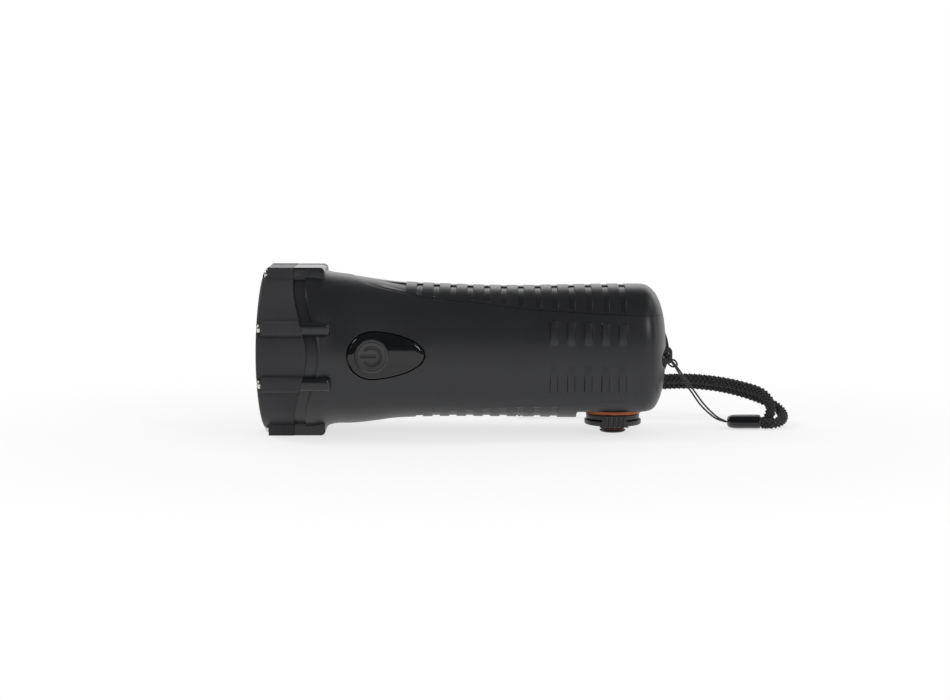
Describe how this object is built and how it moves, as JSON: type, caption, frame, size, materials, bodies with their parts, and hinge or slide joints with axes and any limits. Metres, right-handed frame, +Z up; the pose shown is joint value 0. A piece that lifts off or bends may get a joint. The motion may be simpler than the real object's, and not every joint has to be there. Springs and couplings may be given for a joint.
{
  "type": "hand crank flashlight",
  "caption": "Trumpet-shaped torch with ribbed covers, side power button, fold-out crank under the tail driving a geared generator, and a wrist strap.",
  "frame": {"origin": "below the middle of the torch's length, on the surface that it lies on", "axes": "+X from the lens to the tail, +Y away from the side with the power button, +Z up"},
  "size_m": [0.2281, 0.1026, 0.0714],
  "materials": {
    "black": "fine matte grain",
    "gloss": "satin gloss",
    "orange": "matte",
    "rubber": "matte",
    "steel": "plated",
    "chrome": "mirror bright",
    "clear": "clear",
    "nylon": "natural",
    "laminate": "satin",
    "copper": "enamelled winding",
    "sleeve": "shrink sleeve",
    "magnet": "dark ferrite",
    "webbing": "braided"
  },
  "bodies": {
    "torch": {"bezel": "black", "lens": "clear", "lens_gasket": "rubber", "reflector": "chrome", "led_board": "laminate", "main_housing": "black", "top_cover": "black", "under_cover": "black", "button_bezel": "gloss", "circuit_board": "laminate", "power_switch": "magnet", "battery_pack": "sleeve", "idler_pin_1": "steel", "idler_pin_2": "steel", "gear_plate": "steel", "generator_can": "steel", "stator_coil": "copper", "generator_cap": "steel", "bearing_ring": "orange", "lanyard_cord": "webbing", "wrist_strap": "webbing", "lanyard_ferrule": "gloss", "bezel_screw_1": "steel", "bezel_screw_2": "steel", "bezel_screw_3": "steel", "bezel_screw_4": "steel", "bezel_screw_5": "steel", "bezel_screw_6": "steel", "bezel_screw_7": "steel", "bezel_screw_8": "steel", "led_1": "clear", "led_2": "clear", "led_3": "clear", "gear_plate_screw_1": "steel", "gear_plate_screw_2": "steel", "gear_plate_screw_3": "steel", "gear_plate_screw_4": "steel"},
    "crank": {"crank_hub": "black", "crank_gear": "nylon", "hinge_pin": "steel"},
    "arm": {"fold_arm": "black", "knob_axle": "steel", "knob_cap": "gloss", "cap_ring": "orange"},
    "knob": {"crank_knob": "black"},
    "idler_1": {"idler_gear_1": "nylon"},
    "idler_2": {"idler_gear_2": "nylon"},
    "rotor": {"rotor_shaft": "steel", "magnet_rotor": "magnet"},
    "button": {"power_button": "rubber"}
  },
  "joints": [
    {"name": "crank_spin", "type": "hinge", "parent": "torch", "child": "crank", "pos_m": [0.0624, 0, 0], "axis": [0, 0, 1], "continuous": true},
    {"name": "crank_fold", "type": "hinge", "parent": "crank", "child": "arm", "pos_m": [0.0624, 0.0132, 0.0027], "axis": [1, 0, 0], "range_deg": [0, 180]},
    {"name": "knob_spin", "type": "hinge", "parent": "arm", "child": "knob", "pos_m": [0.0624, 0, 0], "axis": [0, 0, 1], "continuous": true},
    {"name": "power_press", "type": "slide", "parent": "torch", "child": "button", "axis": [0, 1, 0], "range_m": [0, 0.0012], "stiffness_N_per_m": 600},
    {"name": "idler_1_spin", "type": "hinge", "parent": "torch", "child": "idler_1", "pos_m": [0.04361, 0.00684, 0], "axis": [0, 0, 1], "continuous": true},
    {"name": "idler_2_spin", "type": "hinge", "parent": "torch", "child": "idler_2", "pos_m": [0.03406, -0.00271, 0], "axis": [0, 0, 1], "continuous": true},
    {"name": "rotor_spin", "type": "hinge", "parent": "torch", "child": "rotor", "pos_m": [0.02206, -0.00271, 0], "axis": [0, 0, 1], "continuous": true}
  ],
  "couplings": [
    {"joint": "idler_1_spin", "follows": "crank_spin", "ratio": -3.1667},
    {"joint": "idler_2_spin", "follows": "crank_spin", "ratio": 8.7083},
    {"joint": "rotor_spin", "follows": "crank_spin", "ratio": -20.319}
  ]
}
